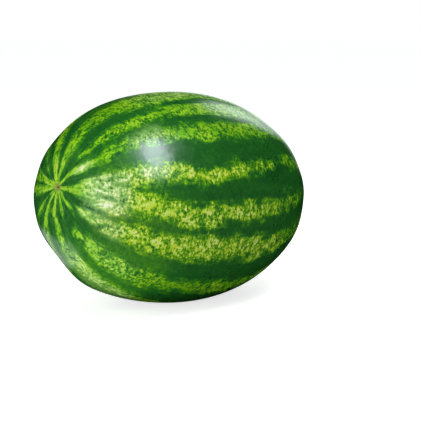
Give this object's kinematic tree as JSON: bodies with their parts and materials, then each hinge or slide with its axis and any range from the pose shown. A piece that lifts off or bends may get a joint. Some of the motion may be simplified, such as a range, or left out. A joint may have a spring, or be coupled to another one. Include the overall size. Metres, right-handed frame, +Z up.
{
  "type": "watermelon",
  "caption": "Whole oval watermelon lying on its side, dark green with jagged light green stripes, with a blossom scar at one end and a dried stem stub at the other.",
  "frame": {"origin": "on the surface that the fruit rests on, under the middle of the box round fruit and stem", "axes": "+Z up, +X along the fruit from the blossom scar to the stem, -Y towards the side that the picture shows"},
  "size_m": [0.36, 0.2326, 0.2303],
  "materials": {
    "rind": "waxy green rind, half gloss, with jagged light stripes",
    "stem": "dry, ridged and matt, straw brown"
  },
  "bodies": {
    "root": {"melon": "rind", "stem": "stem"}
  },
  "joints": []
}
